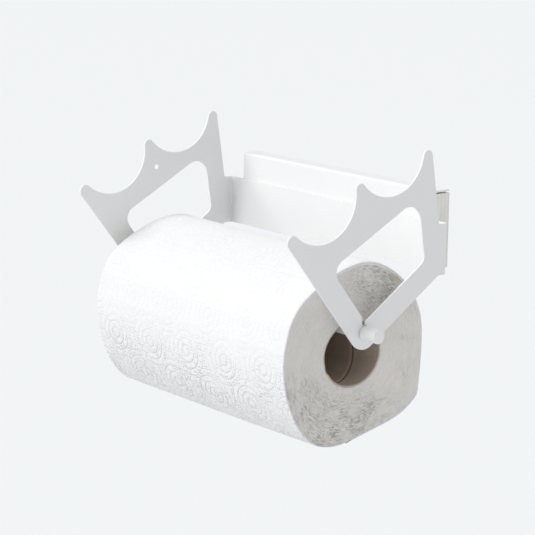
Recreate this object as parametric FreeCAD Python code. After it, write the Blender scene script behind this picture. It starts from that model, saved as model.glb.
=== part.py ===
import FreeCAD, Part
import math
import os

os.makedirs("parts", exist_ok=True)

# A wall-mounted paper towel holder. The origin is the middle of the face that meets the wall:
# +Y points into the wall, +Z is up and +X runs along the roll. All sizes are in millimetres.

V = FreeCAD.Vector
ALONG_ROLL = V(1, 0, 0)
INTO_WALL = V(0, 1, 0)
UP = V(0, 0, 1)
TOUCHING = 1e-6                # places closer than this are the same place

# ---- driving dimensions -------------------------------------------------------------------------

# folded bracket
BRACKET_WIDTH = 252.0          # over the two side plates
SHEET = 1.6                    # steel sheet of the bracket
BEND_RADIUS = 3.0              # outside of the folds
WEB_TOP = 7.8
WEB_BOTTOM = -29.0

# side plate, in the plane of Y and Z
CRADLE_RADIUS = 31.0           # the two round scallops
REAR_CRADLE = (-70.0, 62.5)
FRONT_CRADLE = (-131.0, 35.5)
REAR_HORN_RADIUS = 4.1
MIDDLE_HORN_RADIUS = 4.0
FRONT_HORN_RADIUS = 4.7
ROD_SEAT = (-90.75, -61.1)     # rod's axis in its slot
HEEL_RADIUS = 12.0             # round end of the plate, about the rod's axis
FRONT_ARM_SLOPE = 52.0         # degrees above the horizontal
REAR_ARM_SLOPE = 34.4
REAR_EDGE_LEAN = 9.1           # degrees from the vertical
REAR_EDGE_OFFSET = 37.5        # from the rear scallop's centre, square to the edge
ARM_WIDTH = 17.4
POST_WIDTH = 16.3              # between the window and the rear edge
BRIDGE_SLOPE = 28.6            # window's top edge
BRIDGE_WIDTH = 11.4            # sheet left under the rear scallop
WINDOW_TOP_RADIUS = 11.0
WINDOW_REAR_RADIUS = 7.5
WINDOW_FRONT_RADIUS = 9.0
NOTCH_RADIUS = 1.5             # inner corner where the rear edge meets the fold
SLOT_WIDTH = 3.4
HANG_HOLE_RADIUS = 2.0         # small round hole in the left plate only
HANG_HOLE = (-89.25, 21.5)

# wall panel
PANEL_WIDTH = 221.6
PANEL_HEIGHT = 57.0
COVER_SHEET = 1.5
COVER_BEND = 2.0
BOARD_THICKNESS = 13.1
BOARD_TOP_GAP = 1.0            # open joint under the cover's top lip
BOARD_BOTTOM_GAP = 0.5
BOARD_EDGE = 0.4               # broken edges
LIP_WALL_GAP = 0.4             # the lip stops short of the wall
SCREW_SPACING = 120.0          # wall screw holes in the board
SCREW_HOLE_RADIUS = 2.25
SCREW_HEAD_RADIUS = 4.6

# hidden fixings between web and board
STUD_RADIUS = 2.5
STUD_LENGTH = 9.0
STUD_FLANGE_RADIUS = 3.25
STUD_FLANGE = 0.8
STUD_HALF_SPACING = 85.0
STUD_ROW_SPACING = 18.0
STUD_HOLE_CLEARANCE = 0.15
INSERT_RADIUS = 3.0
INSERT_LENGTH = 5.0
GRUB_RADIUS = 2.0
GRUB_SOCKET = 2.0              # across the flats
GRUB_SOCKET_DEPTH = 2.0
GRUB_SUNK = 0.3
GRUB_REACH = 1.0               # a grub screw meets its stud this far past the stud's middle

# rod
ROD_RADIUS = 5.0
NECK_RADIUS = 1.5
ROD_PLAY = 0.6                 # side play on each face of a plate
KNOB_REACH = 16.0              # from the plate's outer face to the knob's end
NECK_IN_ROD = 12.0
NECK_IN_KNOB = 9.0
ROD_CHAMFER = 0.5
KNOB_CHAMFER = 0.7

# paper
ROLL_LENGTH = 228.0
CORE_HALF_WIDTH = 24.8         # the tube is squashed to an oval; both are inside it
CORE_HALF_HEIGHT = 22.75
CORE_WALL = 1.0
CORE_HANG_GAP = 0.3            # between the core and the rod that it hangs on
SHEET_SKIN = 0.6               # last sheet with its quilting
LAST_SHEET_START = 118.7       # angles about the core: 0 faces the wall, 90 is up
LAST_SHEET_END = 267.1
ROLL_OUTLINE = (               # the squashed roll as (angle, radius), once round from its crease
    (-32.0, 73.7),
    (-21.2, 68.9),
    (-6.3, 66.1),
    (18.8, 67.3),
    (49.1, 67.0),
    (79.8, 65.3),
    (97.2, 62.1),
    (118.7, 60.4),
    (143.1, 62.0),
    (181.4, 61.3),
    (206.3, 63.0),
    (225.9, 66.7),
    (240.6, 68.9),
    (258.3, 66.1),
    (285.6, 61.6),
    (310.1, 67.7),
    (328.0, 73.7),
)

# ---- worked out -----------------------------------------------------------------------------------

HALF_WIDTH = BRACKET_WIDTH / 2
HALF_PANEL = PANEL_WIDTH / 2
COVER_FRONT = -(BOARD_THICKNESS + COVER_SHEET)
WEB_FRONT = COVER_FRONT - SHEET
FOLD_START = COVER_FRONT - BEND_RADIUS
PANEL_TOP = PANEL_HEIGHT / 2
PANEL_BOTTOM = -PANEL_HEIGHT / 2
BOARD_TOP = PANEL_TOP - COVER_SHEET - BOARD_TOP_GAP
BOARD_BOTTOM = PANEL_BOTTOM + BOARD_BOTTOM_GAP
STUD_ROW_MIDDLE = (WEB_TOP + WEB_BOTTOM) / 2
STUD_PLACES = [
    (x, STUD_ROW_MIDDLE + z)
    for x in (-STUD_HALF_SPACING, STUD_HALF_SPACING)
    for z in (-STUD_ROW_SPACING / 2, STUD_ROW_SPACING / 2)
]
GRUB_DEPTH = COVER_FRONT + STUD_LENGTH / 2 + GRUB_REACH
GRUB_PLACES = [-STUD_HALF_SPACING, STUD_HALF_SPACING]
ROD_HALF = HALF_WIDTH - SHEET - ROD_PLAY
KNOB_START = HALF_WIDTH + ROD_PLAY
ROLL_AXIS = (ROD_SEAT[0], ROD_SEAT[1] + ROD_RADIUS + CORE_HANG_GAP - CORE_HALF_HEIGHT)


# ---- drawing in the plane of Y and Z --------------------------------------------------------------

def turn(point, distance, degrees):
    """The point at a distance and direction from another; 0 degrees is +Y and 90 is +Z."""
    a = math.radians(degrees)
    return (point[0] + distance * math.cos(a), point[1] + distance * math.sin(a))


def direction(start, end):
    return math.degrees(math.atan2(end[1] - start[1], end[0] - start[0]))


def at(x, point):
    return V(x, point[0], point[1])


def arc(x, centre, radius, start, end):
    """An arc from one angle to another; it runs clockwise where end is below start."""
    middle = (start + end) / 2
    ends = [at(x, turn(centre, radius, a)) for a in (start, middle, end)]
    return Part.Arc(*ends).toShape()


def line(x, start, end):
    return Part.LineSegment(at(x, start), at(x, end)).toShape()


def crossing(first, second):
    """Where two lines meet. A line is the angle of its outward normal, and its offset."""
    a, c = math.radians(first[0]), first[1]
    b, d = math.radians(second[0]), second[1]
    spread = math.sin(b - a)
    y = (c * math.sin(b) - d * math.sin(a)) / spread
    z = (d * math.cos(a) - c * math.cos(b)) / spread
    return (y, z)


def offset_of(point, normal):
    a = math.radians(normal)
    return point[0] * math.cos(a) + point[1] * math.sin(a)


def rounded_prism(x, thickness, corners):
    """A prism along X from corners given as (point, radius), each rounded by a tangent arc."""
    edges = []
    starts = []
    ends = []
    count = len(corners)
    for i, (point, radius) in enumerate(corners):
        before = direction(point, corners[i - 1][0])
        after = direction(point, corners[(i + 1) % count][0])
        half = math.radians(((after - before + 180) % 360 - 180) / 2)
        reach = radius / abs(math.tan(half))
        middle = math.degrees(math.radians(before) + half)
        centre = turn(point, radius / abs(math.sin(half)), middle)
        first = turn(point, reach, before)
        last = turn(point, reach, after)
        edges.append(Part.Arc(at(x, first), at(x, turn(centre, -radius, middle)), at(x, last)).toShape())
        starts.append(first)
        ends.append(last)
    for i in range(count):
        following = starts[(i + 1) % count]
        if math.dist(ends[i], following) > TOUCHING:
            edges.append(line(x, ends[i], following))
    wire = Part.Wire(Part.__sortEdges__(edges))
    return Part.Face(wire).extrude(ALONG_ROLL * thickness)


def round_bar(start, end, radius, chamfer=0.0):
    """A round bar along X, with both ends chamfered."""
    profile = [
        V(start, 0, 0),
        V(start, radius - chamfer, 0),
        V(start + chamfer, radius, 0),
        V(end - chamfer, radius, 0),
        V(end, radius - chamfer, 0),
        V(end, 0, 0),
    ]
    if chamfer == 0.0:
        return Part.makeCylinder(radius, end - start, V(start, 0, 0), ALONG_ROLL)
    wire = Part.makePolygon(profile + profile[:1])
    return Part.Face(wire).revolve(V(0, 0, 0), ALONG_ROLL, 360)


def on_rod_axis(shape):
    shape.translate(at(0, ROD_SEAT))
    return shape


def block(x, y, z):
    """A box from its lower and upper limits along each axis."""
    return Part.makeBox(x[1] - x[0], y[1] - y[0], z[1] - z[0], V(x[0], y[0], z[0]))


def edges_along(shape, axis, y, z):
    """The straight edges that run along one axis through a place in the plane square to it."""
    found = []
    for edge in shape.Edges:
        ends = [vertex.Point for vertex in edge.Vertexes]
        if len(ends) != 2:
            continue
        along = (ends[1] - ends[0]).normalize()
        parallel = abs(along.dot(axis)) > 1 - TOUCHING
        if parallel and math.dist((ends[0].y, ends[0].z), (y, z)) < TOUCHING:
            found.append(edge)
    return found


def save(name, shape):
    if not shape.isValid():
        raise ValueError(name + " is not a valid solid")
    shape.exportStep(os.path.join("parts", name + ".step"))


# ---- folded bracket -------------------------------------------------------------------------------

REAR_EDGE = (REAR_EDGE_LEAN, offset_of(REAR_CRADLE, REAR_EDGE_LEAN) + REAR_EDGE_OFFSET)
FRONT_NORMAL = 270.0 - FRONT_ARM_SLOPE
UNDER_NORMAL = 270.0 + REAR_ARM_SLOPE
FRONT_EDGE = (FRONT_NORMAL, offset_of(ROD_SEAT, FRONT_NORMAL) + HEEL_RADIUS)
UNDER_EDGE = (UNDER_NORMAL, offset_of(ROD_SEAT, UNDER_NORMAL) + HEEL_RADIUS)
BRIDGE_NORMAL = 90.0 + BRIDGE_SLOPE
BRIDGE_EDGE = (BRIDGE_NORMAL, offset_of(REAR_CRADLE, BRIDGE_NORMAL) - CRADLE_RADIUS - BRIDGE_WIDTH)


def horn_beside(cradle, edge, radius, side):
    """Centre of a horn's round end, tangent to a scallop and to a straight edge."""
    normal, offset = edge
    share = (offset - radius - offset_of(cradle, normal)) / (CRADLE_RADIUS + radius)
    return turn(cradle, CRADLE_RADIUS + radius, normal + side * math.degrees(math.acos(share)))


def horn_between(rear, front, radius):
    """Centre of the middle horn's round end, tangent to both scallops."""
    half = math.dist(rear, front) / 2
    reach = CRADLE_RADIUS + radius
    tilt = math.degrees(math.acos(half / reach))
    return turn(rear, reach, direction(rear, front) + tilt)


def plate_outline(x):
    rear_horn = horn_beside(REAR_CRADLE, REAR_EDGE, REAR_HORN_RADIUS, -1)
    middle_horn = horn_between(REAR_CRADLE, FRONT_CRADLE, MIDDLE_HORN_RADIUS)
    front_horn = horn_beside(FRONT_CRADLE, FRONT_EDGE, FRONT_HORN_RADIUS, 1)
    fold_top = (FOLD_START, WEB_TOP)
    fold_bottom = (FOLD_START, WEB_BOTTOM)
    notch = crossing(REAR_EDGE, (90.0, WEB_TOP))
    turn_in = NOTCH_RADIUS * math.tan(math.radians(90.0 - REAR_EDGE_LEAN) / 2)
    notch_centre = (notch[0] + turn_in, WEB_TOP + NOTCH_RADIUS)
    heel_start = turn(ROD_SEAT, HEEL_RADIUS, FRONT_NORMAL)
    heel_end = turn(ROD_SEAT, HEEL_RADIUS, UNDER_NORMAL)
    under_end = crossing(UNDER_EDGE, (90.0, WEB_BOTTOM))
    to_rear = direction(REAR_CRADLE, rear_horn)
    to_middle = direction(REAR_CRADLE, middle_horn)
    from_middle = direction(FRONT_CRADLE, middle_horn)
    to_front = direction(FRONT_CRADLE, front_horn)
    edges = [
        arc(x, ROD_SEAT, HEEL_RADIUS, FRONT_NORMAL, UNDER_NORMAL),
        line(x, heel_end, under_end),
        line(x, under_end, fold_bottom),
        line(x, fold_bottom, fold_top),
        line(x, fold_top, turn(notch_centre, NOTCH_RADIUS, 270.0)),
        arc(x, notch_centre, NOTCH_RADIUS, 270.0, 180.0 + REAR_EDGE_LEAN),
        line(x, turn(notch_centre, NOTCH_RADIUS, 180.0 + REAR_EDGE_LEAN),
             turn(rear_horn, REAR_HORN_RADIUS, REAR_EDGE_LEAN)),
        arc(x, rear_horn, REAR_HORN_RADIUS, REAR_EDGE_LEAN, to_rear + 180.0),
        arc(x, REAR_CRADLE, CRADLE_RADIUS, to_rear, to_middle),
        arc(x, middle_horn, MIDDLE_HORN_RADIUS, to_middle + 180.0, from_middle + 180.0),
        arc(x, FRONT_CRADLE, CRADLE_RADIUS, from_middle, to_front),
        arc(x, front_horn, FRONT_HORN_RADIUS, to_front + 180.0, FRONT_NORMAL),
        line(x, turn(front_horn, FRONT_HORN_RADIUS, FRONT_NORMAL), heel_start),
    ]
    return Part.Face(Part.Wire(edges))


def window(x, thickness):
    """The rounded triangle, and the slot that runs down from it to the rod's seat."""
    rear = (REAR_EDGE[0], REAR_EDGE[1] - POST_WIDTH)
    front = (FRONT_EDGE[0], FRONT_EDGE[1] - ARM_WIDTH)
    under = (UNDER_EDGE[0], UNDER_EDGE[1] - ARM_WIDTH)
    slot_rear = (0.0, ROD_SEAT[0] + SLOT_WIDTH / 2)
    slot_front = (180.0, -(ROD_SEAT[0] - SLOT_WIDTH / 2))
    seat_bottom = ROD_SEAT[1] - SLOT_WIDTH / 2
    corners = [
        (crossing(BRIDGE_EDGE, rear), WINDOW_TOP_RADIUS),
        (crossing(BRIDGE_EDGE, front), WINDOW_FRONT_RADIUS),
        (crossing(front, slot_front), NOTCH_RADIUS),
        ((ROD_SEAT[0] - SLOT_WIDTH / 2, seat_bottom), SLOT_WIDTH / 2),
        ((ROD_SEAT[0] + SLOT_WIDTH / 2, seat_bottom), SLOT_WIDTH / 2),
        (crossing(slot_rear, under), NOTCH_RADIUS),
        (crossing(under, rear), WINDOW_REAR_RADIUS),
    ]
    return rounded_prism(x, thickness, corners)


def side_plate(x):
    plate = plate_outline(x).extrude(ALONG_ROLL * SHEET)
    return plate.cut(window(x - SHEET, 3 * SHEET))


def fold(side):
    """A quarter turn of sheet between the web and one side plate."""
    centre = V(side * (HALF_WIDTH - BEND_RADIUS), FOLD_START, WEB_BOTTOM)
    height = WEB_TOP - WEB_BOTTOM
    outer = Part.makeCylinder(BEND_RADIUS, height, centre, UP, 90)
    inner = Part.makeCylinder(BEND_RADIUS - SHEET, height, centre, UP, 90)
    quarter = outer.cut(inner)
    if side < 0:
        quarter.rotate(centre, UP, 90)
    return quarter


def folded_bracket():
    left = side_plate(-HALF_WIDTH)
    hole = Part.makeCylinder(HANG_HOLE_RADIUS, 3 * SHEET, at(-HALF_WIDTH - SHEET, HANG_HOLE), ALONG_ROLL)
    right = side_plate(HALF_WIDTH - SHEET)
    flat = HALF_WIDTH - BEND_RADIUS
    web = block((-flat, flat), (WEB_FRONT, COVER_FRONT), (WEB_BOTTOM, WEB_TOP))
    bracket = web.fuse([fold(-1), fold(1), left.cut(hole), right])
    return bracket.removeSplitter()


# ---- wall panel -----------------------------------------------------------------------------------

def panel_cover():
    """Folded cover: a front face with a lip back over the board's top edge."""
    outer = block((-HALF_PANEL, HALF_PANEL), (COVER_FRONT, -LIP_WALL_GAP), (PANEL_BOTTOM, PANEL_TOP))
    outer = outer.makeFillet(COVER_BEND, edges_along(outer, ALONG_ROLL, COVER_FRONT, PANEL_TOP))
    inside_front = COVER_FRONT + COVER_SHEET
    inside_top = PANEL_TOP - COVER_SHEET
    past_end = HALF_PANEL + COVER_SHEET
    below = PANEL_BOTTOM - COVER_SHEET
    inner = block((-past_end, past_end), (inside_front, COVER_SHEET), (below, inside_top))
    inner = inner.makeFillet(COVER_BEND - COVER_SHEET,
                             edges_along(inner, ALONG_ROLL, inside_front, inside_top))
    cover = outer.cut(inner)
    radius = STUD_FLANGE_RADIUS + STUD_HOLE_CLEARANCE
    holes = [
        Part.makeCylinder(radius, 3 * COVER_SHEET, V(x, COVER_FRONT - COVER_SHEET, z), INTO_WALL)
        for x, z in STUD_PLACES
    ]
    return cover.cut(holes)


def wall_board():
    """The batten behind the cover, with its wall screw holes and the pockets for studs and inserts."""
    board = block((-HALF_PANEL, HALF_PANEL), (-BOARD_THICKNESS, 0.0), (BOARD_BOTTOM, BOARD_TOP))
    long_edges = edges_along(board, ALONG_ROLL, -BOARD_THICKNESS, BOARD_TOP)
    long_edges += edges_along(board, ALONG_ROLL, -BOARD_THICKNESS, BOARD_BOTTOM)
    board = board.makeChamfer(BOARD_EDGE, long_edges)
    cuts = []
    for x in (-SCREW_SPACING / 2, SCREW_SPACING / 2):
        start = V(x, -BOARD_THICKNESS, 0)
        sink = SCREW_HEAD_RADIUS - SCREW_HOLE_RADIUS
        cuts.append(Part.makeCylinder(SCREW_HOLE_RADIUS, BOARD_THICKNESS, start, INTO_WALL))
        cuts.append(Part.makeCone(SCREW_HEAD_RADIUS, SCREW_HOLE_RADIUS, sink, start, INTO_WALL))
    pocket_end = COVER_FRONT + STUD_LENGTH + BOARD_EDGE
    for x, z in STUD_PLACES:
        radius = STUD_RADIUS + STUD_HOLE_CLEARANCE
        depth = pocket_end + BOARD_THICKNESS
        cuts.append(Part.makeCylinder(radius, depth, V(x, -BOARD_THICKNESS, z), INTO_WALL))
    for x in GRUB_PLACES:
        start = V(x, GRUB_DEPTH, BOARD_BOTTOM)
        cuts.append(Part.makeCylinder(INSERT_RADIUS, INSERT_LENGTH, start, UP))
        cuts.append(Part.makeCylinder(GRUB_RADIUS, grub_top() - BOARD_BOTTOM, start, UP))
    return board.cut(cuts)


# ---- hidden fixings -------------------------------------------------------------------------------

def grub_top():
    lower_stud = STUD_ROW_MIDDLE - STUD_ROW_SPACING / 2
    return lower_stud - STUD_RADIUS


def weld_studs():
    studs = []
    for x, z in STUD_PLACES:
        foot = V(x, COVER_FRONT, z)
        shank = Part.makeCylinder(STUD_RADIUS, STUD_LENGTH, foot, INTO_WALL)
        flange = Part.makeCylinder(STUD_FLANGE_RADIUS, STUD_FLANGE, foot, INTO_WALL)
        studs.append(shank.fuse(flange))
    return Part.makeCompound(studs)


def insert_nuts():
    nuts = []
    for x in GRUB_PLACES:
        foot = V(x, GRUB_DEPTH, BOARD_BOTTOM)
        body = Part.makeCylinder(INSERT_RADIUS, INSERT_LENGTH, foot, UP)
        nuts.append(body.cut(Part.makeCylinder(GRUB_RADIUS, INSERT_LENGTH, foot, UP)))
    return Part.makeCompound(nuts)


def grub_screws():
    screws = []
    for x in GRUB_PLACES:
        foot = V(x, GRUB_DEPTH, BOARD_BOTTOM + GRUB_SUNK)
        body = Part.makeCylinder(GRUB_RADIUS, grub_top() - foot.z, foot, UP)
        socket_radius = GRUB_SOCKET / math.sqrt(3)
        corners = [foot + V(*turn((0, 0), socket_radius, 60.0 * i), 0) for i in range(7)]
        socket = Part.Face(Part.makePolygon(corners)).extrude(UP * GRUB_SOCKET_DEPTH)
        screws.append(body.cut(socket))
    return Part.makeCompound(screws)


# ---- rod ------------------------------------------------------------------------------------------

def roller_rod():
    rod = round_bar(-ROD_HALF, ROD_HALF, ROD_RADIUS, ROD_CHAMFER)
    left = round_bar(-ROD_HALF, -ROD_HALF + NECK_IN_ROD, NECK_RADIUS)
    right = round_bar(ROD_HALF - NECK_IN_ROD, ROD_HALF, NECK_RADIUS)
    return on_rod_axis(rod.cut([left, right]))


def neck_stud(side):
    ends = sorted([side * (ROD_HALF - NECK_IN_ROD), side * (KNOB_START + NECK_IN_KNOB)])
    return on_rod_axis(round_bar(ends[0], ends[1], NECK_RADIUS))


def knob(side):
    ends = sorted([side * KNOB_START, side * (HALF_WIDTH + KNOB_REACH)])
    hole = sorted([side * KNOB_START, side * (KNOB_START + NECK_IN_KNOB)])
    body = round_bar(ends[0], ends[1], ROD_RADIUS, KNOB_CHAMFER)
    return on_rod_axis(body.cut(round_bar(hole[0], hole[1], NECK_RADIUS)))


# ---- paper ----------------------------------------------------------------------------------------

def along_roll(outline):
    """A prism as long as the roll from a closed outline in its left end's plane."""
    return Part.Face(Part.Wire(outline)).extrude(ALONG_ROLL * ROLL_LENGTH)


def oval_bar(wall=0.0):
    """What fills the core, or with a wall added, what fills the roll's bore."""
    wide = turn(ROLL_AXIS, CORE_HALF_WIDTH + wall, 0.0)
    tall = turn(ROLL_AXIS, CORE_HALF_HEIGHT + wall, 90.0)
    x = -ROLL_LENGTH / 2
    return along_roll([Part.Ellipse(at(x, wide), at(x, tall), at(x, ROLL_AXIS)).toShape()])


def cardboard_core():
    return oval_bar(CORE_WALL).cut(oval_bar())


def squashed_roll(skin=0.0):
    """The whole roll without its bore, or what is left of it with a skin taken off."""
    places = [at(-ROLL_LENGTH / 2, turn(ROLL_AXIS, radius - skin, angle)) for angle, radius in ROLL_OUTLINE]
    outside = Part.BSplineCurve()
    outside.interpolate(places)
    return along_roll([outside.toShape()])


def bare_wedge():
    """The part of the roll, seen from its axis, that the last sheet doesn't cover."""
    reach = 2 * max(radius for angle, radius in ROLL_OUTLINE)
    middle = (LAST_SHEET_START + LAST_SHEET_END) / 2
    corners = [turn(ROLL_AXIS, reach, angle) for angle in (LAST_SHEET_START, middle, LAST_SHEET_END)]
    places = [at(-ROLL_LENGTH / 2, corner) for corner in [ROLL_AXIS, *corners, ROLL_AXIS]]
    return along_roll([Part.makePolygon(places)])


def loose_sheet():
    return squashed_roll().cut([squashed_roll(SHEET_SKIN), bare_wedge()])


def paper_roll():
    return squashed_roll().cut([loose_sheet(), oval_bar(CORE_WALL)])


save("folded_bracket", folded_bracket())
save("panel_cover", panel_cover())
save("wall_board", wall_board())
save("weld_studs", weld_studs())
save("insert_nuts", insert_nuts())
save("grub_screws", grub_screws())
save("roller_rod", roller_rod())
save("neck_stud_left", neck_stud(-1))
save("neck_stud_right", neck_stud(1))
save("knob_left", knob(-1))
save("knob_right", knob(1))
save("cardboard_core", cardboard_core())
save("paper_roll", paper_roll())
save("loose_sheet", loose_sheet())
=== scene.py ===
import math

import bmesh
import bpy
import numpy as np
from mathutils import Matrix, Vector, noise as soft_noise
from mathutils.bvhtree import BVHTree


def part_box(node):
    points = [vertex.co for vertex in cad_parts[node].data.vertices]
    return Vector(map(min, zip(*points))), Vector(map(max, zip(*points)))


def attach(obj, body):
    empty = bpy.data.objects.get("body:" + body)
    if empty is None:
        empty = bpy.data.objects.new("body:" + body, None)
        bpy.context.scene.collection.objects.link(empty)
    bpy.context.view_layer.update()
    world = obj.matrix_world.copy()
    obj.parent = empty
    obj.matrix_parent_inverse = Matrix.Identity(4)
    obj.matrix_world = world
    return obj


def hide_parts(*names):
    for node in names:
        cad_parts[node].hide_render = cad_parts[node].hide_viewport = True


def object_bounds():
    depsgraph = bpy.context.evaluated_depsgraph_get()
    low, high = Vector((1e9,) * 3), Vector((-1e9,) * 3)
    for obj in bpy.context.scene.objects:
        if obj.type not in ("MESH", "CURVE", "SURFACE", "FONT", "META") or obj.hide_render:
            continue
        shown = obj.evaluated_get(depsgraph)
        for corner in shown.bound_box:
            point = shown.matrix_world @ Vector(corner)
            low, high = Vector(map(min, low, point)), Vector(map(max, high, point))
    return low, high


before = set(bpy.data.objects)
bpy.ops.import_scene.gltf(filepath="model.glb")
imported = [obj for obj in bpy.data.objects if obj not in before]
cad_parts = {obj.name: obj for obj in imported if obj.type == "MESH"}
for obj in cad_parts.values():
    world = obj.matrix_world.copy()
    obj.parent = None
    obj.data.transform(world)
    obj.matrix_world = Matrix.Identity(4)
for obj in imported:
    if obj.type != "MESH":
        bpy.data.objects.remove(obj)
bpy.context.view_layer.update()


# ==== Folded bracket ================================================================================
# One blank of 1.6 mm sheet steel, laser cut with its scallops and windows, folded twice into a channel
# and powder coated white. Its web is held to the panel by studs welded on the back.

MM = 0.001                       # metres
COAT_WHITE = (0.87, 0.87, 0.865)
COAT_EDGE_ROUND = 0.18 * MM      # powder coat rounds every cut edge
COAT_GRAIN = 1.1 * MM
COAT_GRAIN_DEPTH = 0.02 * MM
COAT_CLOUDS = 60 * MM            # across the faint changes in tone
COAT_RUBBED = 18 * MM            # across the changes in gloss
COAT_SPECULAR = 0.25
MIX_FIRST = 6                    # a Mix node's colour sockets
MIX_SECOND = 7
MIX_RESULT = 2


def new_material(name, colour, roughness):
    """A Principled material, with its tree and its shader."""
    finish = bpy.data.materials.new(name)
    finish.use_nodes = True
    shader = finish.node_tree.nodes["Principled BSDF"]
    shader.inputs["Base Color"].default_value = (*colour, 1.0)
    shader.inputs["Roughness"].default_value = roughness
    return finish, finish.node_tree, shader


def feed(tree, socket, value):
    """Gives a socket a number, a vector or another node's output."""
    if isinstance(value, bpy.types.NodeSocket):
        tree.links.new(value, socket)
    else:
        socket.default_value = value


def calc(tree, operation, *values):
    """A Math node's result; it works in materials and in Geometry Nodes alike."""
    step = tree.nodes.new("ShaderNodeMath")
    step.operation = operation
    for socket, value in zip(step.inputs, values):
        feed(tree, socket, value)
    return step.outputs[0]


def place_on_piece(tree):
    """Where a point lies in the piece's own space, in metres."""
    return tree.nodes.new("ShaderNodeTexCoord").outputs["Object"]


def stretched(tree, place, scale):
    """A place scaled along each axis, so that a pattern drawn on it is stretched."""
    mapping = tree.nodes.new("ShaderNodeMapping")
    tree.links.new(place, mapping.inputs["Vector"])
    mapping.inputs["Scale"].default_value = scale
    return mapping.outputs["Vector"]


def noise(tree, place, size, detail=2.0, roughness=0.5):
    """Noise from 0 to 1 whose blotches are about one size across."""
    pattern = tree.nodes.new("ShaderNodeTexNoise")
    tree.links.new(place, pattern.inputs["Vector"])
    pattern.inputs["Scale"].default_value = 1.0 / size
    pattern.inputs["Detail"].default_value = detail
    pattern.inputs["Roughness"].default_value = roughness
    return pattern.outputs["Fac"]


def between(tree, amount, lowest, highest, low=0.0, high=1.0):
    """Spreads the numbers from lowest to highest over low to high, and clamps the rest."""
    spread = tree.nodes.new("ShaderNodeMapRange")
    for name, value in zip(("From Min", "From Max", "To Min", "To Max"), (lowest, highest, low, high)):
        feed(tree, spread.inputs[name], value)
    feed(tree, spread.inputs["Value"], amount)
    return spread.outputs["Result"]


def two_tone(tree, amount, first, second):
    """A colour that goes from the first to the second as amount goes from 0 to 1."""
    mix = tree.nodes.new("ShaderNodeMix")
    mix.data_type = "RGBA"
    feed(tree, mix.inputs["Factor"], amount)
    for socket, colour in ((MIX_FIRST, first), (MIX_SECOND, second)):
        value = colour if isinstance(colour, bpy.types.NodeSocket) else (*colour, 1.0)
        feed(tree, mix.inputs[socket], value)
    return mix.outputs[MIX_RESULT]


def shade(colour, share):
    """The same colour, darker or lighter."""
    return tuple(share * c for c in colour)


def raise_surface(tree, shader, height, depth, under=None):
    """Bump from a height of 0 to 1 that stands for a real depth in metres."""
    bump = tree.nodes.new("ShaderNodeBump")
    bump.inputs["Strength"].default_value = 1.0
    bump.inputs["Distance"].default_value = depth
    tree.links.new(height, bump.inputs["Height"])
    if under is not None:
        tree.links.new(under, bump.inputs["Normal"])
    tree.links.new(bump.outputs["Normal"], shader.inputs["Normal"])
    return bump.outputs["Normal"]


def powder_coat(name, colour, roughness):
    """Baked powder: a fine pebbled skin, faint clouds in tone, and gloss that varies a little."""
    finish, tree, shader = new_material(name, colour, roughness)
    place = place_on_piece(tree)
    clouds = noise(tree, place, COAT_CLOUDS, 3.0)
    tone = two_tone(tree, between(tree, clouds, 0.3, 0.7), shade(colour, 0.975), colour)
    tree.links.new(tone, shader.inputs["Base Color"])
    rubbed = noise(tree, place, COAT_RUBBED, 4.0, 0.6)
    gloss = between(tree, rubbed, 0.0, 1.0, roughness - 0.05, roughness + 0.06)
    tree.links.new(gloss, shader.inputs["Roughness"])
    pebbles = noise(tree, place, COAT_GRAIN, 2.0, 0.6)
    raise_surface(tree, shader, pebbles, COAT_GRAIN_DEPTH)
    shader.inputs["Specular IOR Level"].default_value = COAT_SPECULAR
    return finish


def put_in_scene(name, mesh):
    piece = bpy.data.objects.new(name, mesh)
    bpy.context.scene.collection.objects.link(piece)
    return piece


def settle_modifiers(piece):
    """Applies a piece's modifiers, so that a plain mesh is left."""
    graph = bpy.context.evaluated_depsgraph_get()
    mesh = bpy.data.meshes.new_from_object(piece.evaluated_get(graph), depsgraph=graph)
    piece.modifiers.clear()
    piece.data = mesh
    return piece


def round_edges(piece, radius, steps=2, sharp_from=28.0):
    """Rolls every sharp edge over by a small radius, and keeps the flats flat."""
    bevel = piece.modifiers.new("edges", "BEVEL")
    bevel.width = radius
    bevel.segments = steps
    bevel.limit_method = "ANGLE"
    bevel.angle_limit = math.radians(sharp_from)
    bevel.use_clamp_overlap = True
    for face in piece.data.polygons:
        face.use_smooth = True
    flats = piece.modifiers.new("flats", "WEIGHTED_NORMAL")
    flats.keep_sharp = False
    flats.weight = 100
    return settle_modifiers(piece)


def copy_of_node(node, name, join_within=0.002 * MM, flat_within=math.radians(0.4)):
    """A clean copy of a CAD node's mesh: joined up, with its flat faces whole again."""
    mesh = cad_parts[node].data.copy()
    shape = bmesh.new()
    shape.from_mesh(mesh)
    bmesh.ops.remove_doubles(shape, verts=shape.verts, dist=join_within)
    bmesh.ops.dissolve_limit(shape, angle_limit=flat_within, verts=shape.verts, edges=shape.edges)
    shape.to_mesh(mesh)
    shape.free()
    mesh.materials.clear()
    return put_in_scene(name, mesh)


def finish_piece(piece, body, slot, *nodes, finish=None):
    """Gives a piece its material, hangs it on its body and hides the CAD nodes it stands for."""
    if finish is not None:
        piece.data.materials.clear()
        piece.data.materials.append(finish)
    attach(piece, body)
    if nodes:
        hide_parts(*nodes)
    return piece


bracket_white = powder_coat("bracket white", COAT_WHITE, 0.50)
bracket = round_edges(copy_of_node("folded_bracket", "bracket_sheet"), COAT_EDGE_ROUND)
finish_piece(bracket, "wall_unit", "bracket_coat", "folded_bracket", finish=bracket_white)


# ==== Panel cover ===================================================================================
# A folded steel cover over the wall board, coated with the same powder as the bracket. The weld studs
# pass through it, so it is clamped between the bracket's web and the board.

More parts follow.
